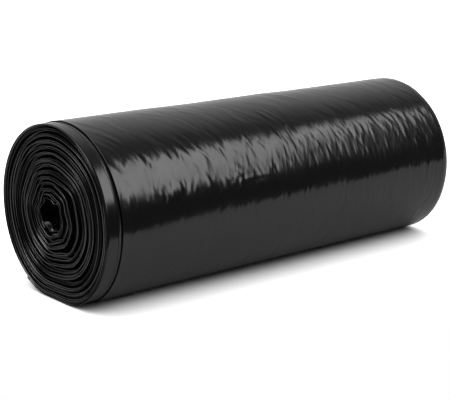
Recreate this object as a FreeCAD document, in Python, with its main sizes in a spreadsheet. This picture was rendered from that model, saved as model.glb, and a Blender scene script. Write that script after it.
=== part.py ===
"""A roll of bin bags: one long folded web of black film, wound without a core and lying on its side.

The roll's axis runs along X. Z is up, the roll rests on the plane Z = 0, and the origin is in the
middle of its footprint. The web is one spiral strip: it starts at a crumpled hollow, makes its turns
with uneven slack between them, and ends in one thin wrap whose near edge is set back.
"""
import FreeCAD, Part
import math
import os

import Sketcher

# Driving sizes, in millimetres unless the name says otherwise.
SIZES = {
    "roll_length": 232.0,
    "roll_width": 93.0,
    "upper_height": 45.4,
    "lower_height": 44.2,
    "flat_width": 16.0,
    "hollow_width": 20.0,
    "hollow_height": 19.4,
    "hollow_side_shift": 4.8,
    "hollow_drop": 1.6,
    "hollow_crumple": 0.9,
    "turn_count": 12,
    "film_gap": 0.35,
    "film_slack": 0.75,
    "slack_waves": 1.37,
    "loose_gap": 4.6,
    "loose_turn": 3,
    "wrap_thickness": 0.45,
    "wrap_gap": 0.15,
    "wrap_setback": 8.8,
    "tail_angle": -55.0,
    "far_corner_length": 6.0,
    "far_corner_depth": 3.4,
    "corner_allowance": 3.0,
}

# The loose gap opens on the side that faces -Y.
LOOSE_SIDE = math.pi
# The share of a turn over which the web climbs over its own first edge.
CLIMB = 0.12
# Arcs that each turn of the spiral is drawn with.
ARCS_PER_TURN = 20
# A stretch that bows out by less than this many millimetres is drawn straight.
STRAIGHT = 0.002
# Waves round the hollow's crumpled edge: how many, their share of the depth, and their phase.
CRUMPLE_WAVES = ((5, 0.6, 0.6), (8, 0.4, -1.0))


def smooth_step(low, high, value):
    """0 below low, 1 above high, and a smooth rise between them."""
    share = min(max((value - low) / (high - low), 0.0), 1.0)
    return share * share * (3.0 - 2.0 * share)


def arc_through(begin, middle, end):
    """An arc through three points, or a line where they don't bend."""
    if middle.distanceToLine(begin, end - begin) < STRAIGHT:
        return Part.LineSegment(begin, end).toShape()
    return Part.Arc(begin, middle, end).toShape()


class Winding:
    """The spiral that the web follows, in the plane across the roll.

    A place on it is given by its count of turns from the web's first edge. A turn lies between the
    hollow's edge and the roll's outline, on the straight line that joins the two at its angle.
    """

    def __init__(self, sheet):
        for name in SIZES:
            setattr(self, name, float(sheet.get(name)))
        self.half_width = self.roll_width / 2.0
        self.half_flat = self.flat_width / 2.0
        self.flat_angle = self.half_flat / self.half_width
        self.first_angle = math.radians(self.tail_angle)
        self.known = {}

    def angle(self, turn):
        return self.first_angle + 2.0 * math.pi * turn

    def turn_at(self, angle, whole_turns):
        """The count of turns at which the web passes an angle, after so many whole turns."""
        share = (angle - self.first_angle) / (2.0 * math.pi)
        return whole_turns + share % 1.0

    def outline(self, angle):
        """The roll's outside: a half ellipse above, and below it two quarters with a flat between."""
        below = (angle + math.pi / 2.0 + math.pi) % (2.0 * math.pi) - math.pi
        if abs(below) >= math.pi / 2.0:
            across = self.half_width * math.cos(angle)
            up = self.upper_height * math.sin(angle)
            return across, self.lower_height + up
        if abs(below) <= self.flat_angle:
            return self.half_flat * below / self.flat_angle, 0.0
        share = (abs(below) - self.flat_angle) / (math.pi / 2.0 - self.flat_angle)
        bend = share * math.pi / 2.0
        across = self.half_flat + (self.half_width - self.half_flat) * math.sin(bend)
        return math.copysign(across, below), self.lower_height * (1.0 - math.cos(bend))

    def hollow(self, angle):
        """The edge of the hollow that the winding mandrel left, which has crumpled a little."""
        waves = sum(share * math.cos(count * angle + phase) for count, share, phase in CRUMPLE_WAVES)
        across = self.hollow_width / 2.0 + self.hollow_crumple * waves
        up = self.hollow_height / 2.0 + self.hollow_crumple * waves
        centre_up = self.lower_height - self.hollow_drop
        return self.hollow_side_shift + across * math.cos(angle), centre_up + up * math.sin(angle)

    def ray(self, angle):
        """The hollow's point at an angle, the direction outwards, and the film's depth there."""
        start = self.hollow(angle)
        end = self.outline(angle)
        depth = math.dist(start, end)
        direction = ((end[0] - start[0]) / depth, (end[1] - start[1]) / depth)
        return start, direction, depth

    def loose(self, angle):
        """The width of the crescent that one loose turn leaves on one side."""
        return self.loose_gap * max(0.0, math.cos(angle - LOOSE_SIDE)) ** 2

    def gap(self, turn):
        """The air under the web, which comes and goes along it and ends at the outer wrap's."""
        wave = 0.5 + 0.5 * math.sin(2.0 * math.pi * self.slack_waves * turn)
        slack = self.film_gap + self.film_slack * wave
        ending = smooth_step(self.turn_count - 1.0, self.turn_count, turn)
        return slack + (self.wrap_gap - slack) * ending

    def inner(self, turn):
        """How far the web's inner side lies from the hollow's edge."""
        if turn >= 1.0:
            crescent = self.loose(self.angle(turn)) if 0.0 <= turn - self.loose_turn < 1.0 else 0.0
            return self.outer(turn - 1.0) + self.gap(turn) + crescent
        climb = smooth_step(1.0 - CLIMB, 1.0, turn)
        return climb * (self.wrap_thickness + self.gap(1.0))

    def outer(self, turn):
        """How far the web's outer side lies from the hollow's edge."""
        key = round(turn, 9)
        if key not in self.known:
            angle = self.angle(turn)
            crescent = self.loose(angle)
            layer = self.wrap_thickness + self.wrap_gap
            film = self.ray(angle)[2] - layer - crescent
            climb = smooth_step(self.turn_count, self.turn_count + CLIMB, turn)
            wound = min(film * turn / self.turn_count, film - layer * (1.0 - climb))
            if turn >= self.loose_turn:
                wound += crescent
            self.known[key] = max(wound, self.inner(turn) + self.wrap_thickness)
        return self.known[key]

    def point(self, turn, side):
        """A point of the web's inner or outer side, in the plane X = 0."""
        start, direction, _ = self.ray(self.angle(turn))
        distance = side(turn)
        across = start[0] + distance * direction[0]
        return FreeCAD.Vector(0.0, across, start[1] + distance * direction[1])

    def path(self, first, last, side):
        """Arcs that follow one side of the web between two places."""
        count = max(1, round(ARCS_PER_TURN * (last - first)))
        steps = 2 * count
        points = [self.point(first + (last - first) * step / steps, side) for step in range(steps + 1)]
        return [arc_through(*points[step : step + 3]) for step in range(0, steps, 2)]

    def section(self, first, last, outer_edges):
        """The web's section between two places, closed by a straight edge at each."""
        inner_edges = self.path(first, last, self.inner)
        caps = [
            Part.LineSegment(self.point(place, self.inner), self.point(place, self.outer)).toShape()
            for place in (first, last)
        ]
        wire = Part.Wire(Part.__sortEdges__(inner_edges + outer_edges + caps))
        return Part.Face(wire)


def make_sheet(doc):
    sheet = doc.addObject("Spreadsheet::Sheet", "sizes")
    for row, (name, value) in enumerate(SIZES.items(), start=1):
        sheet.set(f"A{row}", name)
        sheet.set(f"B{row}", str(value))
        sheet.setAlias(f"B{row}", name)
    doc.recompute()
    return sheet


def add_section(doc, name, face):
    section = doc.addObject("Part::Feature", name)
    section.Shape = face
    return section


def turns_section(doc, winding):
    """All the turns under the outer wrap."""
    last = winding.turn_count + 1.0
    face = winding.section(0.0, last, winding.path(0.0, last, winding.outer))
    return add_section(doc, "turns_section", face)


def wrap_section(doc, winding):
    """The outer wrap, one thin turn, whose underside is flat where the roll rests."""
    first = winding.turn_count + 1.0
    down = -math.pi / 2.0
    flat_from = winding.turn_at(down - winding.flat_angle, first)
    flat_to = winding.turn_at(down + winding.flat_angle, first)
    ends = [winding.point(place, winding.outer) for place in (flat_from, flat_to)]
    outer_edges = (
        winding.path(first, flat_from, winding.outer)
        + [Part.LineSegment(*ends).toShape()]
        + winding.path(flat_to, first + 1.0, winding.outer)
    )
    return add_section(doc, "wrap_section", winding.section(first, first + 1.0, outer_edges))


def extrude(doc, name, section, length, start):
    """The section drawn out along X, with its length and its start bound to the sheet."""
    solid = doc.addObject("Part::Extrusion", name)
    solid.Base = section
    solid.DirMode = "Custom"
    solid.Dir = FreeCAD.Vector(1, 0, 0)
    solid.Solid = True
    solid.setExpression("LengthFwd", length)
    solid.setExpression("Placement.Base.x", start)
    return solid


def origin_plane(body, role):
    return next(item for item in body.Origin.OriginFeatures if item.Role == role)


def far_corner(doc):
    """The ring that is missing round the far end, where the film's edges draw in to a soft corner."""
    body = doc.addObject("PartDesign::Body", "far_corner")
    sketch = body.newObject("Sketcher::SketchObject", "corner_profile")
    sketch.AttachmentSupport = [(origin_plane(body, "XZ_Plane"), "")]
    sketch.MapMode = "FlatFace"

    length = SIZES["far_corner_length"]
    depth = SIZES["far_corner_depth"]
    beyond = SIZES["corner_allowance"]
    end_x = SIZES["roll_length"] / 2.0
    side_y = SIZES["roll_width"] / 2.0
    corners = [
        FreeCAD.Vector(end_x - length, side_y, 0),
        FreeCAD.Vector(end_x, side_y - depth, 0),
        FreeCAD.Vector(end_x + beyond, side_y - depth, 0),
        FreeCAD.Vector(end_x + beyond, side_y + beyond, 0),
        FreeCAD.Vector(end_x - length, side_y + beyond, 0),
    ]
    bevel, low, outer, top, back = [
        sketch.addGeometry(Part.LineSegment(corner, corners[(index + 1) % len(corners)]))
        for index, corner in enumerate(corners)
    ]
    for first, second in ((bevel, low), (low, outer), (outer, top), (top, back), (back, bevel)):
        sketch.addConstraint(Sketcher.Constraint("Coincident", first, 2, second, 1))
    for line in (low, top):
        sketch.addConstraint(Sketcher.Constraint("Horizontal", line))
    for line in (outer, back):
        sketch.addConstraint(Sketcher.Constraint("Vertical", line))
    bound = (
        ("DistanceX", (-1, 1, bevel, 2, end_x), "sizes.roll_length / 2"),
        ("DistanceY", (-1, 1, bevel, 1, side_y), "sizes.roll_width / 2"),
        ("DistanceX", (bevel, 1, bevel, 2, length), "sizes.far_corner_length"),
        ("DistanceY", (bevel, 2, bevel, 1, depth), "sizes.far_corner_depth"),
        ("DistanceX", (low, 1, low, 2, beyond), "sizes.corner_allowance"),
        ("DistanceY", (back, 2, back, 1, beyond), "sizes.corner_allowance"),
    )
    for kind, values, expression in bound:
        index = sketch.addConstraint(Sketcher.Constraint(kind, *values))
        sketch.setExpression(f"Constraints[{index}]", expression)
    doc.recompute()

    ring = body.newObject("PartDesign::Revolution", "corner_ring")
    ring.Profile = sketch
    ring.ReferenceAxis = (sketch, ["H_Axis"])
    ring.Angle = 360.0
    body.Tip = ring
    body.setExpression("Placement.Base.z", "sizes.lower_height")
    return body


def build(doc):
    sheet = make_sheet(doc)
    winding = Winding(sheet)
    turns = extrude(
        doc, "turns", turns_section(doc, winding), "sizes.roll_length", "-sizes.roll_length / 2"
    )
    wrap = extrude(
        doc,
        "outer_wrap",
        wrap_section(doc, winding),
        "sizes.roll_length - sizes.wrap_setback",
        "sizes.wrap_setback - sizes.roll_length / 2",
    )
    web = doc.addObject("Part::Fuse", "web")
    web.Base = turns
    web.Tool = wrap
    roll = doc.addObject("Part::Cut", "roll")
    roll.Base = web
    roll.Tool = far_corner(doc)
    roll.Label = "bag_roll"
    doc.recompute()
    return [roll]


def check(doc, nodes):
    for item in doc.Objects:
        if "Invalid" in item.State or "Error" in item.State:
            raise RuntimeError(f"{item.Label} failed: {item.State}")
    for node in nodes:
        shape = node.Shape
        if shape.isNull() or not shape.isValid() or len(shape.Solids) != 1:
            raise RuntimeError(f"{node.Label} is not one valid solid")
        box = shape.optimalBoundingBox()
        print(node.Label, "volume", round(shape.Volume), "faces", len(shape.Faces))
        print("  X", round(box.XMin, 2), round(box.XMax, 2), "Y", round(box.YMin, 2), round(box.YMax, 2))
        print("  Z", round(box.ZMin, 3), round(box.ZMax, 2))


def main():
    doc = FreeCAD.newDocument("bin_bag_roll")
    nodes = build(doc)
    check(doc, nodes)
    os.makedirs("parts", exist_ok=True)
    for node in nodes:
        node.Shape.exportStep(os.path.join("parts", node.Label + ".step"))


main()
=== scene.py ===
"""The looks of a coreless roll of glossy black bin bags that lies on its side.

The web of folded film is wound in one spiral, as in the construction model, and its turns show their
plies at both ends. One thin outer wrap covers it, creased all over, with its near edge set back.
Lengths are in metres, and the frame is the construction model's: X along the roll, Z up.
"""
import math
from collections import namedtuple

import bmesh
import bpy
import numpy as np
from mathutils import Matrix, Vector

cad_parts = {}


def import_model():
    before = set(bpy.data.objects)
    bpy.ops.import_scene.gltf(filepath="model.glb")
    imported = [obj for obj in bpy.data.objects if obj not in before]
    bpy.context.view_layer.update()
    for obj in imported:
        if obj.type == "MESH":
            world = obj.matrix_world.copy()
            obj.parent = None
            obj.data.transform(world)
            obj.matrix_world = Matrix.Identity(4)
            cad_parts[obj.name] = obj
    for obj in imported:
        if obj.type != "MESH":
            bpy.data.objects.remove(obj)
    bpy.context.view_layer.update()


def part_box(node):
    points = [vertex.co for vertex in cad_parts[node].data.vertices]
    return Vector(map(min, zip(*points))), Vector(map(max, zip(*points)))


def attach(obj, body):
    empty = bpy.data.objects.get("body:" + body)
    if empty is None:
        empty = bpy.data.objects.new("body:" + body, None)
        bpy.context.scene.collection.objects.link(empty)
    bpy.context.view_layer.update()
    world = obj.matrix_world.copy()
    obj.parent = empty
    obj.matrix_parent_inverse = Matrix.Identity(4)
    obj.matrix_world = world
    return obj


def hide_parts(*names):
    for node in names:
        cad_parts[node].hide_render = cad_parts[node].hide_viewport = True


MM = 0.001
FULL_TURN = 2.0 * math.pi

# The winding's own sizes, as in the construction model.
LOWER_HEIGHT = 44.2 * MM
FLAT_WIDTH = 16.0 * MM
HOLLOW_WIDTH = 20.0 * MM
HOLLOW_HEIGHT = 19.4 * MM
HOLLOW_SIDE_SHIFT = 4.8 * MM
HOLLOW_DROP = 1.6 * MM
HOLLOW_CRUMPLE = 0.9 * MM
CRUMPLE_WAVES = ((5, 0.6, 0.6), (8, 0.4, -1.0))
TURN_COUNT = 12
FILM_GAP = 0.35 * MM
FILM_SLACK = 0.75 * MM
SLACK_WAVES = 1.37
LOOSE_GAP = 4.6 * MM
LOOSE_TURN = 3
LOOSE_SIDE = math.pi
CLIMB = 0.12
WRAP_THICKNESS = 0.45 * MM
WRAP_GAP = 0.15 * MM
WRAP_SETBACK = 8.8 * MM
TAIL_ANGLE = math.radians(-55.0)

# The far end, where the wrap draws in to a soft corner, and the roll's slight taper towards it.
CORNER_LENGTH = 6.0 * MM
CORNER_DEPTH = 3.5 * MM
TAPER = 0.0747

# The plies that show in each turn's end. A ply's points run from its inner groove at -1 to its outer at 1.
WEB_SEED = 11
SAMPLES_PER_TURN = 110
PLY_BORDERS = (0.0, 0.40, 0.72, 1.0)
PLY_COUNT = len(PLY_BORDERS) - 1
PLY_STEPS = (-0.97, -0.55, -0.2, 0.0, 0.2, 0.55)
PLY_GROOVE = 1.5 * MM
PLY_ROUNDNESS = 1.3
PLY_SETBACK = 1.0 * MM
INNER_PLY_SETBACK = 2.2 * MM
BUNDLE_ROUNDING = 0.5 * MM
LIP_LENGTH = 1.2 * MM
SIDE_LENGTH = 12.0 * MM

# How often in a turn the plies' setbacks and tones change, and how many random values each has.
# A ply's tone sets how pale its crest is painted: its fold's paler look and a painted highlight.
PLY_CELLS = 9
INNER_PLY_CELLS = 2.3
BUNDLE_CELLS = 1.7
TONE_CELLS = 3.1
PLY_VALUES = 997
BUNDLE_VALUES = 97
DARKEST_TONE = 0.35

# The outermost ply evens out where it comes under the outer wrap: over which turns, and how far.
EVEN_START = TURN_COUNT - 0.3
EVEN_END = TURN_COUNT + 0.1
EVEN_SHARE = 0.92

# How far behind a thin film edge its face is flat again.
EDGE_CRISP = 0.12 * MM

# The outer wrap's mesh. Its underside needs fewer points, and its relief fades out at its near edge
# and towards the floor.
WRAP_SEED = 5
WRAP_SAMPLES = 250
WRAP_STEP = 0.8 * MM
UNDERSIDE_STRIDE = 6
CORNER_STEPS = 9
CORNER_BEND = math.radians(82.0)
NEAR_FADE = (-1.0 * MM, 3.0 * MM)
FLOOR_FADE = (2.0 * MM, 9.0 * MM)

# The wrap's slack, in millimetres: each wave's length along the roll and around it, and its rise.
SLACK_RELIEF = ((42.0, 30.0, 0.22), (17.0, 18.0, 0.07), (6.0, 15.0, 0.025))
SLACK_SKEW = 0.25
SLACK_VALUES = (64, 64)

# The wrap's creases, in millimetres and degrees: how many, their length, half width, slope, tilt and its
# spread, their zone as shares of the length, and their sector round the roll, where 90 is its top and
# 180 its front. In turn they lie all over, on the top, on the near part of the front, on the far half of
# the front, in four bands along the front, at the far end, on the back and on the underside.
Creases = namedtuple("Creases", "count length half_width slope tilt spread zone sector")
CREASE_FAMILIES = (
    Creases(1000, (4.0, 12.0), (0.6, 1.3), (0.008, 0.026), 12.0, 10.0, (0.0, 1.0), (-55.0, 305.0)),
    Creases(180, (12.0, 26.0), (1.0, 2.4), (0.020, 0.060), 34.0, 9.0, (0.0, 1.0), (60.0, 140.0)),
    Creases(90, (6.0, 14.0), (0.9, 2.0), (0.020, 0.050), 5.0, 28.0, (0.0, 0.40), (140.0, 200.0)),
    Creases(380, (5.0, 14.0), (0.6, 1.3), (0.025, 0.070), 5.0, 9.0, (0.48, 1.0), (125.0, 200.0)),
    Creases(150, (9.0, 20.0), (0.7, 1.6), (0.035, 0.080), 36.0, 7.0, (0.0, 1.0), (116.0, 141.0)),
    Creases(60, (8.0, 18.0), (0.7, 1.5), (0.050, 0.100), 42.0, 7.0, (0.0, 0.55), (124.0, 139.0)),
    Creases(60, (5.0, 11.0), (0.8, 1.7), (0.040, 0.085), 14.0, 24.0, (0.0, 0.45), (156.0, 170.0)),
    Creases(50, (8.0, 18.0), (1.0, 2.0), (0.020, 0.045), 12.0, 24.0, (0.0, 1.0), (166.0, 186.0)),
    Creases(220, (8.0, 22.0), (0.6, 1.2), (0.050, 0.120), 3.0, 6.0, (0.86, 1.0), (-55.0, 305.0)),
    Creases(240, (8.0, 22.0), (1.2, 2.6), (0.030, 0.080), 20.0, 20.0, (0.0, 1.0), (-55.0, 60.0)),
    Creases(160, (8.0, 22.0), (1.2, 2.6), (0.020, 0.050), 8.0, 20.0, (0.0, 1.0), (190.0, 305.0)),
)
CREASE_BOW = 0.06

# A few long creases that run along the roll, in millimetres and degrees.
LongCrease = namedtuple("LongCrease", "along angle length half_width slope tilt bow")
LONG_CREASES = (
    LongCrease(-26.0, 161.5, 38.0, 1.3, 0.09, 95.5, 0.07),
    LongCrease(-30.0, 157.5, 24.0, 1.1, 0.07, 97.0, 0.05),
    LongCrease(-22.0, 166.0, 26.0, 1.2, 0.07, 93.0, 0.04),
    LongCrease(18.0, 150.0, 20.0, 1.2, 0.05, 92.0, -0.05),
)

# The film's second layer: how far its edge shows before the outer wrap's, on which side it shows most,
# how that varies round the roll, and how far it reaches under the wrap.
EDGE_FOLD = 2.5 * MM
EDGE_FOLD_SIDE = math.radians(140.0)
EDGE_FOLD_MEAN = 0.65
EDGE_FOLD_SWING = 0.35
EDGE_FOLD_RIPPLE = 0.06
EDGE_FOLD_RIPPLES = 7.0
EDGE_FOLD_OVERLAP = 2.0 * MM
EDGE_FOLD_LOW = 0.01 * MM
EDGE_FOLD_HIGH = 0.12 * MM
# How pale the layer's edge is painted: partly its cut edge's paler look, partly a painted highlight along it.
EDGE_FOLD_HIGHLIGHT = 0.66

# The film that lines the hollow. Its rows crowd towards the near mouth, and it stands in furthest above
# and in front.
HOLLOW_SEED = 23
HOLLOW_ROUNDS = 181
HOLLOW_ROWS = 110
HOLLOW_EVENNESS = 0.35
HOLLOW_MARGIN = 1.0 * MM
LINING_THICKNESS = 0.12 * MM
LINING_RISE = 0.95 * MM
LINING_FRONT = 0.8 * MM
LINING_TOP = 0.6 * MM
Facets = namedtuple("Facets", "around along cell rise")
BROAD_FACETS = Facets(7, 16, 21.0 * MM, 0.5 * MM)
SMALL_FACETS = Facets(19, 60, 6.0 * MM, 0.35 * MM)
MOUTH_LENGTH = 16.0 * MM
MOUTH_RAGGEDNESS = 2.2 * MM
MOUTH_NOISE_ROW = 3.3
RIM_NOISE_ROW = 7.1
# How pale the lining's rim is painted: its cut edge's paler look and a painted highlight.
RIM_PALE_AND_HIGHLIGHT = 0.55
RIM_HIGHLIGHT_SWING = 0.35

# The tuck of loose film in the hollow's mouth: where it lies round the hollow and along it, how far it
# stands in, its facets, and the painted glints, pale lines on them.
TUCK_SHARE = 0.83
TUCK_SPREAD = 0.11
TUCK_DEPTH = 3.5 * MM
TUCK_LENGTH = 3.0 * MM
TUCK_RISE = 6.5 * MM
TUCK_FACETS = 2 * SMALL_FACETS.around
TUCK_FACET_SHIFT = 0.5
TUCK_FACET_LENGTH = 3.0 * MM
TUCK_GLINT_LEVEL = 0.3
TUCK_GLINT_SHARPNESS = 5.0
TUCK_GLINT_GAIN = 2.0

# The film's look: black, paler on the cut folds with a painted highlight on their crests, and rougher deep in
# the winding.
FILM_BLACK = (0.003, 0.003, 0.0032, 1.0)
# The pale colour is partly the cut folds' own paler look and partly painted highlights and glints.
FOLD_PALE_AND_HIGHLIGHT = (0.24, 0.24, 0.243, 1.0)
FOLD_EDGE_RANGE = (0.55, 0.95)
FILM_ROUGHNESS = (0.12, 0.19)
HAZE_RANGE = (0.3, 0.7)
HAZE_NOISE = {"Scale": 60.0, "Detail": 3.0, "Roughness": 0.6}
DEEP_HAZE = 0.45
FILM_IOR = 1.5
CREASE_LEAN = math.radians(-12.0)
CREASE_SCALE = (420.0, 80.0, 1.0)
CREASE_NOISE = {"Scale": 1.0, "Detail": 4.0, "Roughness": 0.55, "Distortion": 0.35}
CREASE_BUMP = {"Strength": 0.5, "Distance": 0.07 * MM}
GRAIN_NOISE = {"Scale": 900.0, "Detail": 2.0, "Roughness": 0.5}
GRAIN_BUMP = {"Strength": 0.25, "Distance": 0.02 * MM}

# The camera: its place, and where it looks, as fitted to the photograph.
FRAME_WIDTH_PX = 450
FOCAL_PX = 1789.5
CAMERA_PLACE = (-0.5781, -0.7079, 0.2810)
CAMERA_YAW = math.radians(38.833)
CAMERA_PITCH = math.radians(15.256)
SENSOR_WIDTH = 36.0
CLIP_START = 0.01
CLIP_END = 100.0

# The studio's floor: a white board whose front edge the film mirrors.
FLOOR_EDGE_PLACE = (0.080, -0.186, -0.00005)
FLOOR_EDGE_TURN = math.radians(22.8)
FLOOR_REACH = 6.0
FLOOR_ALBEDO = 0.67
FLOOR_SEEN = 1.8

# The studio's room and its two softboxes, by the parts of a direction: X along the roll, Y away, Z up.
# Past its right end the strip light keeps a small share of its light.
WHITE = (1.0, 1.0, 1.0, 1.0)
DARK_SIDE = 0.10
MIDDLE_SIDE = 0.20
PALE_SIDE = 0.68
FRONT_FADE = (-0.6, -0.1)
BACK_FADE = (-0.05, 0.55)
STRIP_RADIANCE = 4.0
STRIP_BLUR = math.radians(5.0)
STRIP_LEFT = (0.30, 0.45)
STRIP_RIGHT = (0.708, 0.728)
STRIP_BEYOND = 0.15
SIDE_BOX_TOWARDS = (-0.66, 0.10, 0.745)
SIDE_BOX_EDGE = (0.93, 0.97)
SIDE_BOX_RADIANCE = 7.0
OVERHEAD_FADE = (0.20, 0.90)
LOW_LIGHT = 0.0
HIGH_LIGHT = 1.7

# The strip light's slanting edges: each one's angle above the front horizon in degrees at a place along X,
# and how fast it climbs along X. The lower edge is the higher of its two lines.
SlantingEdge = namedtuple("SlantingEdge", "angle place slope")
STRIP_TOP = SlantingEdge(65.5, 0.60, 160.0)
STRIP_LOW = SlantingEdge(41.5, 0.664, 670.0)
STRIP_NEAR_LOW = SlantingEdge(23.0, 0.610, 60.0)

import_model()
roll_low, roll_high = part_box("bag_roll")
HALF_LENGTH = roll_high.x
HALF_WIDTH = -roll_low.y
UPPER_HEIGHT = roll_high.z - LOWER_HEIGHT


def smooth_step(low, high, value):
    share = np.clip((value - low) / (high - low), 0.0, 1.0)
    return share * share * (3.0 - 2.0 * share)


def outline(angle):
    """The roll's outside: a half ellipse above, and below it two quarters with a flat between."""
    half_flat = FLAT_WIDTH / 2.0
    flat_angle = half_flat / HALF_WIDTH
    quarter = math.pi / 2.0
    below = (angle + 1.5 * math.pi) % FULL_TURN - math.pi
    bend = np.clip((np.abs(below) - flat_angle) / (quarter - flat_angle), 0.0, 1.0) * quarter
    above = np.abs(below) >= quarter
    resting = np.abs(below) <= flat_angle
    side = np.sign(below) * (half_flat + (HALF_WIDTH - half_flat) * np.sin(bend))
    lower_across = np.where(resting, half_flat * below / flat_angle, side)
    across = np.where(above, HALF_WIDTH * np.cos(angle), lower_across)
    up = np.where(above, LOWER_HEIGHT + UPPER_HEIGHT * np.sin(angle), LOWER_HEIGHT * (1.0 - np.cos(bend)))
    return np.stack([across, up], axis=-1)


def hollow(angle):
    """The edge of the hollow that the winding mandrel left, which has crumpled a little."""
    waves = sum(share * np.cos(count * angle + phase) for count, share, phase in CRUMPLE_WAVES)
    across = HOLLOW_SIDE_SHIFT + (HOLLOW_WIDTH / 2.0 + HOLLOW_CRUMPLE * waves) * np.cos(angle)
    up = LOWER_HEIGHT - HOLLOW_DROP + (HOLLOW_HEIGHT / 2.0 + HOLLOW_CRUMPLE * waves) * np.sin(angle)
    return np.stack([across, up], axis=-1)


class Winding:
    """The web's spiral, sampled evenly along each turn."""

    def __init__(self, samples):
        self.samples = samples
        self.phase = np.arange(samples) / samples
        self.angle = TAIL_ANGLE + FULL_TURN * self.phase
        self.start = hollow(self.angle)
        reach = outline(self.angle) - self.start
        self.depth = np.linalg.norm(reach, axis=1)
        self.direction = reach / self.depth[:, None]
        rows = TURN_COUNT + 3
        self.inner = np.zeros((rows, samples))
        self.outer = np.zeros((rows, samples))
        for row in range(rows):
            self.wind(row)

    def gap(self, turn):
        wave = 0.5 + 0.5 * np.sin(FULL_TURN * SLACK_WAVES * turn)
        slack = FILM_GAP + FILM_SLACK * wave
        return slack + (WRAP_GAP - slack) * smooth_step(TURN_COUNT - 1.0, TURN_COUNT, turn)

    def wind(self, row):
        turn = row + self.phase
        crescent = LOOSE_GAP * np.maximum(0.0, np.cos(self.angle - LOOSE_SIDE)) ** 2
        layer = WRAP_THICKNESS + WRAP_GAP
        film = self.depth - layer - crescent
        climb = smooth_step(TURN_COUNT, TURN_COUNT + CLIMB, turn)
        wound = np.minimum(film * turn / TURN_COUNT, film - layer * (1.0 - climb))
        if row >= LOOSE_TURN:
            wound = wound + crescent
        if row == 0:
            climb = smooth_step(1.0 - CLIMB, 1.0, turn)
            self.inner[row] = climb * (WRAP_THICKNESS + self.gap(np.array(1.0)))
        else:
            self.inner[row] = self.outer[row - 1] + self.gap(turn)
            if row == LOOSE_TURN:
                self.inner[row] += crescent
        self.outer[row] = np.maximum(wound, self.inner[row] + WRAP_THICKNESS)

    def strip(self, first, last):
        """The web from one whole turn to another: its places, and its sides' distances."""
        count = (last - first) * self.samples + 1
        index = np.arange(count) % self.samples
        row = first + np.arange(count) // self.samples
        turn = first + np.arange(count) / self.samples
        return turn, index, self.inner[row, index], self.outer[row, index]

    def points(self, index, distance, along):
        """Points at distances from the hollow's edge, with their places along X."""
        across = self.start[index][:, None, :] + distance[:, :, None] * self.direction[index][:, None, :]
        return np.concatenate([along[:, :, None], across], axis=2)


class Lattice:
    """Noise between -1 and 1 from a lattice of random values: smooth, or in facets with creases between."""

    def __init__(self, rng, shape, faceted=False):
        self.values = rng.uniform(-1.0, 1.0, shape)
        self.faceted = faceted

    def at(self, first, second):
        """Places are in lattice cells, one array for each of its two directions."""
        rows, columns = self.values.shape
        i = np.floor(first).astype(int)
        j = np.floor(second).astype(int)
        s = first - i
        t = second - j
        if not self.faceted:
            s = s * s * (3.0 - 2.0 * s)
            t = t * t * (3.0 - 2.0 * t)
        v00 = self.values[i % rows, j % columns]
        v10 = self.values[(i + 1) % rows, j % columns]
        v01 = self.values[i % rows, (j + 1) % columns]
        v11 = self.values[(i + 1) % rows, (j + 1) % columns]
        return (v00 * (1 - s) + v10 * s) * (1 - t) + (v01 * (1 - s) + v11 * s) * t


def corner_inset(along):
    """How far the far corner's curve lies inside the outline at a place along X."""
    share = np.clip((along - (HALF_LENGTH - CORNER_LENGTH)) / CORNER_LENGTH, 0.0, 1.0)
    return CORNER_DEPTH * (1.0 - np.sqrt(1.0 - share * share))


def corner_setback(inset):
    """How far the far corner's curve lies before the far end at a depth inside the outline."""
    share = np.clip(1.0 - inset / CORNER_DEPTH, 0.0, 1.0)
    return CORNER_LENGTH * (1.0 - np.sqrt(1.0 - share * share))


def taper(points):
    """The roll is a little slimmer towards its far end, and still lies on the floor all along."""
    share = (points[..., 0] + HALF_LENGTH) / (2.0 * HALF_LENGTH)
    points[..., 1:] *= (1.0 - TAPER * share)[..., None]
    return points


def mesh_piece(name, points, material, place, edges):
    """A closed piece from rows of points round a loop: rows x loop, with its two ends capped.

    Each point has its place on the film, and its edge: above 0 painted pale (cut folds, highlights, glints),
    below 0 deep in the winding.
    """
    rows, loop, _ = points.shape
    points = taper(points)
    mesh = bpy.data.meshes.new(name)
    index = np.arange(rows * loop).reshape(rows, loop)
    a = index[:-1]
    b = index[1:]
    faces = np.stack([a, b, np.roll(b, -1, axis=1), np.roll(a, -1, axis=1)], axis=2).reshape(-1, 4)
    caps = [index[0].tolist(), index[-1][::-1].tolist()]
    mesh.from_pydata(points.reshape(-1, 3).tolist(), [], faces.tolist() + caps)
    places = mesh.attributes.new("film_place", "FLOAT_VECTOR", "POINT")
    places.data.foreach_set("vector", place.astype(np.float32).ravel())
    folds = mesh.attributes.new("fold_edge", "FLOAT", "POINT")
    folds.data.foreach_set("value", edges.astype(np.float32).ravel())
    work = bmesh.new()
    work.from_mesh(mesh)
    bmesh.ops.recalc_face_normals(work, faces=work.faces)
    work.to_mesh(mesh)
    work.free()
    mesh.shade_smooth()
    piece = bpy.data.objects.new(name, mesh)
    bpy.context.scene.collection.objects.link(piece)
    mesh.materials.append(material)
    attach(piece, "root")
    return piece


def ply_profile():
    """Across one turn's end: each point's share of the thickness, its ply, and its place in the groove."""
    shares = []
    plies = []
    places = []
    for ply in range(PLY_COUNT):
        low, high = PLY_BORDERS[ply : ply + 2]
        for step in PLY_STEPS:
            shares.append(low + (high - low) * (0.5 + 0.5 * step))
            plies.append(ply)
            places.append(step)
    shares.append(1.0)
    plies.append(PLY_COUNT - 1)
    places.append(-PLY_STEPS[0])
    return np.array(shares), np.array(plies), np.array(places)


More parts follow.
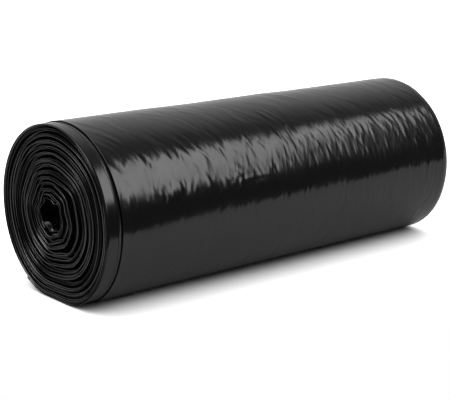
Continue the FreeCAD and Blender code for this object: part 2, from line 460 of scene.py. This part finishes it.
def turn_noise(rng, turn, cells, values):
    """Smooth random values between 0 and 1 along the web."""
    return 0.5 + 0.5 * Lattice(rng, (values, 1)).at(turn * cells, np.zeros_like(turn))


def ply_noise(rng, turn, cells):
    """The same for each ply by itself: turns x plies."""
    return np.stack([turn_noise(rng, turn, cells, PLY_VALUES) for _ in range(PLY_COUNT)], axis=1)


def end_depths(rng, turn, shares, plies, places):
    """How far each point of a turn's end lies behind the end's foremost plane."""
    setbacks = PLY_SETBACK * ply_noise(rng, turn, PLY_CELLS)
    setbacks[:, 0] += INNER_PLY_SETBACK * ply_noise(rng, turn, INNER_PLY_CELLS)[:, 0]
    bundle = turn_noise(rng, turn, BUNDLE_CELLS, BUNDLE_VALUES)
    groove = PLY_GROOVE * np.abs(places) ** PLY_ROUNDNESS
    rounding = BUNDLE_ROUNDING * (2.0 * shares - 1.0) ** 2
    return setbacks[:, plies] + PLY_SETBACK * bundle[:, None] + (groove + rounding)[None, :]


def side_points(winding, index, distance, places_along):
    """Points along one side of the web. Each place along X is one value, or a value for each row."""
    distances = np.repeat(distance[:, None], len(places_along), axis=1)
    along = np.stack([np.broadcast_to(place, len(index)) for place in places_along], axis=1)
    return winding.points(index, distances, along)


def wound_web(material):
    """All the turns under the outer wrap, with their plies showing at both ends."""
    rng = np.random.default_rng(WEB_SEED)
    winding = Winding(SAMPLES_PER_TURN)
    turn, index, inner, outer = winding.strip(0, TURN_COUNT + 1)
    shares, plies, places = ply_profile()
    near_depth = end_depths(rng, turn, shares, plies, places)
    last_turn = smooth_step(EVEN_START, EVEN_END, turn)[:, None]
    near_depth *= 1.0 - EVEN_SHARE * last_turn * (plies == PLY_COUNT - 1)[None, :]
    far_depth = end_depths(rng, turn, shares, plies, places)
    distance = inner[:, None] + shares[None, :] * (outer - inner)[:, None]
    near = winding.points(index, distance, near_depth - HALF_LENGTH)
    inset = winding.depth[index][:, None] - distance
    far_along = HALF_LENGTH - corner_setback(np.maximum(inset - WRAP_THICKNESS, 0.0)) - far_depth
    far = winding.points(index, distance, far_along)

    deepest = 2.0 * PLY_SETBACK + INNER_PLY_SETBACK + PLY_GROOVE + BUNDLE_ROUNDING
    outer_places = (
        near[:, -1, 0] + LIP_LENGTH,
        SIDE_LENGTH - HALF_LENGTH,
        HALF_LENGTH - SIDE_LENGTH,
        HALF_LENGTH - CORNER_LENGTH - deepest,
    )
    inner_places = (
        HALF_LENGTH - CORNER_LENGTH - deepest,
        HALF_LENGTH - SIDE_LENGTH - LIP_LENGTH,
        SIDE_LENGTH - HALF_LENGTH,
        deepest + LIP_LENGTH - HALF_LENGTH,
    )
    outer_side = side_points(winding, index, outer, outer_places)
    inner_side = side_points(winding, index, inner, inner_places)
    points = np.concatenate([near, outer_side, far[:, ::-1], inner_side], axis=1)

    # Each ply's crest is painted pale, at random by its tone: partly the cut fold's paler look, partly a
    # painted highlight.
    tones = DARKEST_TONE + (1.0 - DARKEST_TONE) * ply_noise(rng, turn, TONE_CELLS)
    edge = (1.0 - np.abs(places))[None, :] * tones[:, plies]
    deep = -np.clip(TURN_COUNT - turn, 0.0, 1.0)[:, None] * np.ones(len(outer_places))[None, :]
    edges = np.concatenate([edge, deep, edge[:, ::-1], deep], axis=1)
    steps = np.linalg.norm(np.diff(outer_side[:, 0, 1:], axis=0), axis=1)
    around = np.concatenate([[0.0], np.cumsum(steps)])[:, None] * np.ones_like(edges)
    place = np.stack([points[:, :, 0], around, edges], axis=2)
    return mesh_piece("wound_web", points, material, place, edges)


def press_crease(height, along, around, centre, length, half_width, rise, tilt, bow):
    """One sharp little fold: a narrow tent along a bowed line, which fades at its ends.

    The centre and the grid are in metres along the roll and around it, and tilt is from around to along.
    """
    reach = length / 2.0 + half_width
    i0, i1 = np.searchsorted(along, [centre[0] - reach, centre[0] + reach])
    j0, j1 = np.searchsorted(around, [centre[1] - reach, centre[1] + reach])
    if i1 - i0 < 2 or j1 - j0 < 2:
        return
    da = along[i0:i1, None] - centre[0]
    dr = around[None, j0:j1] - centre[1]
    lengthwise = (da * math.sin(tilt) + dr * math.cos(tilt)) / (length / 2.0)
    sideways = da * math.cos(tilt) - dr * math.sin(tilt) + bow * length * lengthwise**2
    tent = np.maximum(0.0, 1.0 - np.abs(sideways) / half_width)
    fade = np.maximum(0.0, 1.0 - lengthwise**2)
    height[i0:i1, j0:j1] += rise * tent * fade


def scatter_creases(rng, height, along, around, family):
    """One family of random creases. They run round the roll, and lean towards the far end over its top."""
    span = along[-1] - along[0]
    for _ in range(family.count):
        length = rng.uniform(*family.length) * MM
        half_width = rng.uniform(*family.half_width) * MM
        rise = half_width * rng.uniform(*family.slope) * rng.choice([-1.0, 1.0])
        place_along = along[0] + span * rng.uniform(*family.zone)
        angle = math.radians(rng.uniform(*family.sector))
        place_around = (angle - TAIL_ANGLE) * HALF_WIDTH
        upward = max(0.0, math.sin(angle))
        tilt = math.radians(rng.normal(family.tilt * upward, family.spread))
        bow = rng.uniform(-CREASE_BOW, CREASE_BOW)
        press_crease(height, along, around, (place_along, place_around), length, half_width, rise, tilt, bow)


def wrap_relief(along, around):
    """The wrap's creases and slack, as a height over its smooth form, for each place on it."""
    rng = np.random.default_rng(WRAP_SEED)
    grid_along, grid_around = np.meshgrid(along, around, indexing="ij")
    skewed = grid_along + SLACK_SKEW * grid_around
    height = np.zeros_like(grid_along)
    for cell_along, cell_around, rise in SLACK_RELIEF:
        lattice = Lattice(rng, SLACK_VALUES)
        height += rise * MM * lattice.at(skewed / (cell_along * MM), grid_around / (cell_around * MM))
    for family in CREASE_FAMILIES:
        scatter_creases(rng, height, along, around, family)
    for crease in LONG_CREASES:
        centre = (crease.along * MM, (math.radians(crease.angle) - TAIL_ANGLE) * HALF_WIDTH)
        half_width = crease.half_width * MM
        rise = half_width * crease.slope
        tilt = math.radians(crease.tilt)
        press_crease(height, along, around, centre, crease.length * MM, half_width, rise, tilt, crease.bow)
    return height


def outer_wrap(material):
    """The last thin turn, from its set-back near edge to the far corner that it curls round."""
    winding = Winding(WRAP_SAMPLES)
    turn, index, _, outer = winding.strip(TURN_COUNT + 1, TURN_COUNT + 2)
    near_edge = WRAP_SETBACK - HALF_LENGTH
    corner_start = HALF_LENGTH - CORNER_LENGTH
    steps = round((corner_start - near_edge) / WRAP_STEP)
    straight = np.linspace(near_edge + EDGE_CRISP, corner_start, steps)
    bend = np.linspace(0.0, CORNER_BEND, CORNER_STEPS + 1)[1:]
    along = np.concatenate([[near_edge], straight, corner_start + CORNER_LENGTH * np.sin(bend)])
    around = (turn - turn[0]) * FULL_TURN * HALF_WIDTH

    relief = wrap_relief(along, around).T
    off_floor = smooth_step(*FLOOR_FADE, outline(winding.angle[index])[:, 1])
    off_edge = smooth_step(near_edge + NEAR_FADE[0], near_edge + NEAR_FADE[1], along)
    relief = relief * off_floor[:, None] * off_edge[None, :]
    outside = outer[:, None] - corner_inset(along)[None, :] + relief
    inside = outside[:, ::-1] - WRAP_THICKNESS
    along_rows = np.repeat(along[None, :], len(turn), axis=0)
    keep = np.unique(np.concatenate([np.arange(0, len(along), UNDERSIDE_STRIDE), [len(along) - 1]]))
    top = winding.points(index, outside, along_rows)
    under = winding.points(index, inside[:, keep], along_rows[:, ::-1][:, keep])
    points = np.concatenate([top, under], axis=1)
    points[:, :, 2] = np.maximum(points[:, :, 2], 0.0)

    place_around = np.repeat(around[:, None], points.shape[1], axis=1)
    edges = np.zeros_like(place_around)
    place = np.stack([points[:, :, 0], place_around, edges], axis=2)
    return mesh_piece("outer_wrap", points, material, place, edges)


def edge_fold(material):
    """The edge of the film's second layer, which shows before the outer wrap's own edge."""
    winding = Winding(WRAP_SAMPLES)
    turn, index, _, outer = winding.strip(TURN_COUNT, TURN_COUNT + 1)
    near_edge = WRAP_SETBACK - HALF_LENGTH
    angle = winding.angle[index]
    swing = EDGE_FOLD_SWING * np.cos(angle - EDGE_FOLD_SIDE)
    ripple = EDGE_FOLD_RIPPLE * np.sin(EDGE_FOLD_RIPPLES * angle)
    first = near_edge - EDGE_FOLD * (EDGE_FOLD_MEAN + swing + ripple)
    last = np.full_like(first, near_edge + EDGE_FOLD_OVERLAP)
    low = outer + EDGE_FOLD_LOW
    high = outer + EDGE_FOLD_HIGH
    along = np.stack([first, first, first + EDGE_CRISP, last, last], axis=1)
    points = winding.points(index, np.stack([low, high, high, high, low], axis=1), along)
    around = np.repeat(((turn - turn[0]) * FULL_TURN * HALF_WIDTH)[:, None], along.shape[1], axis=1)
    edges = np.zeros_like(along)
    # The edge's top is painted pale: partly its cut edge, partly a painted highlight along it.
    edges[:, 1] = EDGE_FOLD_HIGHLIGHT
    place = np.stack([along, around, edges], axis=2)
    return mesh_piece("edge_fold", points, material, place, edges)


def hollow_film(material):
    """The crumpled film that lines the hollow: facets between creases, and a loose tuck near its mouth."""
    rng = np.random.default_rng(HOLLOW_SEED)
    broad = Lattice(rng, (BROAD_FACETS.around, BROAD_FACETS.along), faceted=True)
    small = Lattice(rng, (SMALL_FACETS.around, SMALL_FACETS.along), faceted=True)
    angle = np.linspace(0.0, FULL_TURN, HOLLOW_ROUNDS)
    share = angle / FULL_TURN
    row = np.linspace(0.0, 1.0, HOLLOW_ROWS)
    crowded = HOLLOW_EVENNESS * row + (1.0 - HOLLOW_EVENNESS) * row**3
    along = -HALF_LENGTH + HOLLOW_MARGIN + 2.0 * (HALF_LENGTH - HOLLOW_MARGIN) * crowded
    around_grid, along_grid = np.meshgrid(share, along, indexing="ij")

    tuck_around = np.exp(-(((share - TUCK_SHARE) / TUCK_SPREAD) ** 2))
    tuck_along = np.exp(-(((along + HALF_LENGTH - TUCK_DEPTH) / TUCK_LENGTH) ** 2))
    tuck = tuck_around[:, None] * tuck_along[None, :]
    crumple = small.at(around_grid * TUCK_FACETS + TUCK_FACET_SHIFT, along_grid / TUCK_FACET_LENGTH)
    rise = (LINING_RISE - LINING_FRONT * np.cos(angle) + LINING_TOP * np.sin(angle))[:, None]
    for facets, lattice in ((BROAD_FACETS, broad), (SMALL_FACETS, small)):
        rise = rise + facets.rise * lattice.at(around_grid * facets.around, along_grid / facets.cell)
    rise += tuck * TUCK_RISE * (0.5 + 0.5 * crumple)

    edge = hollow(angle)
    centre = np.array([HOLLOW_SIDE_SHIFT, LOWER_HEIGHT - HOLLOW_DROP])
    inward = centre - edge
    inward /= np.linalg.norm(inward, axis=1)[:, None]
    inner = edge[:, None, :] + rise[:, :, None] * inward[:, None, :]
    outer = inner - LINING_THICKNESS * inward[:, None, :]
    near = smooth_step(MOUTH_LENGTH - HALF_LENGTH, -HALF_LENGTH, along)
    ragged = small.at(share * SMALL_FACETS.around, np.full(HOLLOW_ROUNDS, MOUTH_NOISE_ROW))
    along_rows = along[None, :] + MOUTH_RAGGEDNESS * (0.5 + 0.5 * ragged)[:, None] * near[None, :]
    top = np.concatenate([along_rows[:, :, None], inner], axis=2)
    under = np.concatenate([along_rows[:, :, None], outer], axis=2)[:, ::-1]
    points = np.concatenate([top, under], axis=1)

    # Thin pale lines painted on the tuck's facets: painted glints where its crumples would catch the light.
    sharp = np.maximum(0.0, 1.0 - TUCK_GLINT_SHARPNESS * np.abs(crumple - TUCK_GLINT_LEVEL))
    lines = np.minimum(1.0, TUCK_GLINT_GAIN * tuck) * sharp
    edges = np.concatenate([lines, lines[:, ::-1]], axis=1)
    # The rim is painted pale: its cut edge's paler look and a painted highlight.
    rim = small.at(share * SMALL_FACETS.around, np.full(HOLLOW_ROUNDS, RIM_NOISE_ROW))
    edges[:, 0] = RIM_PALE_AND_HIGHLIGHT + RIM_HIGHLIGHT_SWING * rim
    edges[:, -1] = edges[:, 0]
    place = points.copy()
    place[:, :, 1] = angle[:, None] * HOLLOW_WIDTH / 2.0
    place[:, :, 2] = 0.0
    return mesh_piece("hollow_film", points, material, place, edges)


class Nodes:
    """Short ways to make and link a material's nodes."""

    def __init__(self, tree):
        self.tree = tree
        tree.nodes.clear()

    def add(self, kind, inputs=None, **settings):
        node = self.tree.nodes.new(kind)
        for key, value in settings.items():
            setattr(node, key, value)
        for key, value in (inputs or {}).items():
            if isinstance(value, bpy.types.NodeSocket):
                self.tree.links.new(value, node.inputs[key])
            else:
                node.inputs[key].default_value = value
        return node

    def math(self, operation, first, second=0.0, third=0.0):
        return self.add("ShaderNodeMath", {0: first, 1: second, 2: third}, operation=operation).outputs[0]

    def ramp(self, value, borders, start, end, kind="SMOOTHSTEP"):
        """From the start value to the end value between two borders."""
        low, high = borders
        inputs = {"Value": value, "From Min": low, "From Max": high, "To Min": start, "To Max": end}
        return self.add("ShaderNodeMapRange", inputs, interpolation_type=kind).outputs[0]

    def light(self, strength):
        return self.add("ShaderNodeBackground", {"Color": WHITE, "Strength": strength}).outputs[0]

    def choose(self, share, first, second):
        return self.add("ShaderNodeMixShader", {0: share, 1: first, 2: second}).outputs[0]


def film_material():
    """Thin glossy black polyethylene: fine creases, a little haze, and paler cut folds with painted
    highlights at the ends.
    """
    material = bpy.data.materials.new("black_film")
    material.use_nodes = True
    nodes = Nodes(material.node_tree)
    place = nodes.add("ShaderNodeAttribute", attribute_name="film_place").outputs["Vector"]
    edge = nodes.add("ShaderNodeAttribute", attribute_name="fold_edge").outputs["Fac"]

    skew = nodes.add("ShaderNodeMapping", {"Vector": place, "Rotation": (0.0, 0.0, CREASE_LEAN)})
    stretched = nodes.add("ShaderNodeMapping", {"Vector": skew.outputs[0], "Scale": CREASE_SCALE})
    along_creases = {"Vector": stretched.outputs[0], **CREASE_NOISE}
    creases = nodes.add("ShaderNodeTexNoise", along_creases, noise_type="RIDGED_MULTIFRACTAL").outputs[0]
    grain = nodes.add("ShaderNodeTexNoise", {"Vector": place, **GRAIN_NOISE}).outputs[0]
    haze = nodes.add("ShaderNodeTexNoise", {"Vector": place, **HAZE_NOISE}).outputs[0]
    coarse = nodes.add("ShaderNodeBump", {"Height": creases, **CREASE_BUMP}).outputs[0]
    fine = nodes.add("ShaderNodeBump", {"Height": grain, "Normal": coarse, **GRAIN_BUMP})

    roughness = nodes.ramp(haze, HAZE_RANGE, *FILM_ROUGHNESS, kind="LINEAR")
    deep = nodes.math("MAXIMUM", nodes.math("MULTIPLY", edge, -1.0), 0.0)
    roughness = nodes.math("MULTIPLY_ADD", deep, DEEP_HAZE, roughness)
    # Where the fold edge is high the colour goes pale: the folds' paler look, and painted highlights and
    # glints.
    pale = nodes.ramp(edge, FOLD_EDGE_RANGE, 0.0, 1.0, kind="LINEAR")
    colour = nodes.add("ShaderNodeMix", {"Factor": pale, 6: FILM_BLACK, 7: FOLD_PALE_AND_HIGHLIGHT}, data_type="RGBA")
    surface = nodes.add(
        "ShaderNodeBsdfPrincipled",
        {"Base Color": colour.outputs[2], "Roughness": roughness, "IOR": FILM_IOR, "Normal": fine.outputs[0]},
    )
    nodes.add("ShaderNodeOutputMaterial", {"Surface": surface.outputs[0]})
    return material


def floor():
    """A white board under the roll, which ends in front of it, short of what the camera sees of the roll."""
    material = bpy.data.materials.new("white_floor")
    material.use_nodes = True
    nodes = Nodes(material.node_tree)
    rays = nodes.add("ShaderNodeLightPath").outputs
    albedo = nodes.math("MULTIPLY_ADD", rays["Is Camera Ray"], FLOOR_SEEN - FLOOR_ALBEDO, FLOOR_ALBEDO)
    paint = nodes.add("ShaderNodeBsdfDiffuse", {"Color": albedo})
    nodes.add("ShaderNodeOutputMaterial", {"Surface": paint.outputs[0]})
    ahead = Vector((math.sin(FLOOR_EDGE_TURN), math.cos(FLOOR_EDGE_TURN), 0.0))
    across = Vector((ahead.y, -ahead.x, 0.0))
    front = Vector(FLOOR_EDGE_PLACE)
    corners = [front - across * FLOOR_REACH, front + across * FLOOR_REACH]
    corners += [corners[1] + ahead * FLOOR_REACH, corners[0] + ahead * FLOOR_REACH]
    mesh = bpy.data.meshes.new("floor")
    mesh.from_pydata([corner[:] for corner in corners], [], [(0, 1, 2, 3)])
    mesh.materials.append(material)
    plane = bpy.data.objects.new("floor", mesh)
    bpy.context.scene.collection.objects.link(plane)


def strip_light(nodes, parts):
    """The long softbox over the roll's front: full inside its four soft edges."""
    blur = (-STRIP_BLUR, STRIP_BLUR)

    def edge_angle(edge):
        start = math.radians(edge.angle - edge.place * edge.slope)
        return nodes.math("MULTIPLY_ADD", parts["X"], math.radians(edge.slope), start)

    rise = nodes.math("ARCTAN2", parts["Z"], nodes.math("MULTIPLY", parts["Y"], -1.0))
    low_edge = nodes.math("MAXIMUM", edge_angle(STRIP_LOW), edge_angle(STRIP_NEAR_LOW))
    under_top = nodes.ramp(nodes.math("SUBTRACT", edge_angle(STRIP_TOP), rise), blur, 0.0, 1.0)
    over_low = nodes.ramp(nodes.math("SUBTRACT", rise, low_edge), blur, 0.0, 1.0)
    inside_left = nodes.ramp(parts["X"], STRIP_LEFT, 0.0, 1.0)
    inside_right = nodes.ramp(parts["X"], STRIP_RIGHT, 1.0, STRIP_BEYOND)
    height = nodes.math("MULTIPLY", under_top, over_low)
    return nodes.math("MULTIPLY", height, nodes.math("MULTIPLY", inside_left, inside_right))


def world():
    """A studio painted by direction: pale behind the roll, dark where the camera stands, and two softboxes.

    Only reflections see that; the camera sees plain white, and the rest gets soft light from overhead.
    """
    studio = bpy.data.worlds.new("studio")
    studio.use_nodes = True
    nodes = Nodes(studio.node_tree)
    towards = nodes.add("ShaderNodeTexCoord").outputs["Generated"]
    parts = nodes.add("ShaderNodeSeparateXYZ", {0: towards}).outputs
    front = nodes.ramp(parts["Y"], FRONT_FADE, DARK_SIDE, MIDDLE_SIDE)
    back = nodes.ramp(parts["Y"], BACK_FADE, 0.0, PALE_SIDE - MIDDLE_SIDE)
    room = nodes.math("ADD", front, back)
    side = nodes.add("ShaderNodeVectorMath", {0: towards, 1: SIDE_BOX_TOWARDS}, operation="DOT_PRODUCT")
    side_box = nodes.ramp(side.outputs["Value"], SIDE_BOX_EDGE, 0.0, SIDE_BOX_RADIANCE)
    boxes = nodes.math("MULTIPLY_ADD", strip_light(nodes, parts), STRIP_RADIANCE, side_box)

    rays = nodes.add("ShaderNodeLightPath").outputs
    reflected = nodes.light(nodes.math("ADD", room, boxes))
    overhead = nodes.light(nodes.ramp(parts["Z"], OVERHEAD_FADE, LOW_LIGHT, HIGH_LIGHT))
    seen_or_lit = nodes.choose(rays["Is Camera Ray"], overhead, nodes.light(1.0))
    first_bounce = nodes.math("LESS_THAN", rays["Diffuse Depth"], 0.5)
    reflection = nodes.math("MULTIPLY", rays["Is Glossy Ray"], first_bounce)
    mixed = nodes.choose(reflection, seen_or_lit, reflected)
    nodes.add("ShaderNodeOutputWorld", {"Surface": mixed})
    bpy.context.scene.world = studio


def camera():
    """The photograph's view: a long lens from the near left, looking down a little."""
    data = bpy.data.cameras.new("camera")
    data.sensor_width = SENSOR_WIDTH
    data.lens = SENSOR_WIDTH * FOCAL_PX / FRAME_WIDTH_PX
    data.clip_start = CLIP_START
    data.clip_end = CLIP_END
    holder = bpy.data.objects.new("camera", data)
    level = math.cos(CAMERA_PITCH)
    down = math.sin(CAMERA_PITCH)
    forward = Vector((math.sin(CAMERA_YAW) * level, math.cos(CAMERA_YAW) * level, -down))
    turned = forward.to_track_quat("-Z", "Y").to_matrix().to_4x4()
    holder.matrix_world = Matrix.Translation(CAMERA_PLACE) @ turned
    bpy.context.scene.collection.objects.link(holder)
    bpy.context.scene.camera = holder


film = film_material()
web = wound_web(film)
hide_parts("bag_roll")
outer_wrap(film)
edge_fold(film)
hollow_film(film)
floor()
world()
camera()
bpy.context.scene.view_settings.view_transform = "Standard"
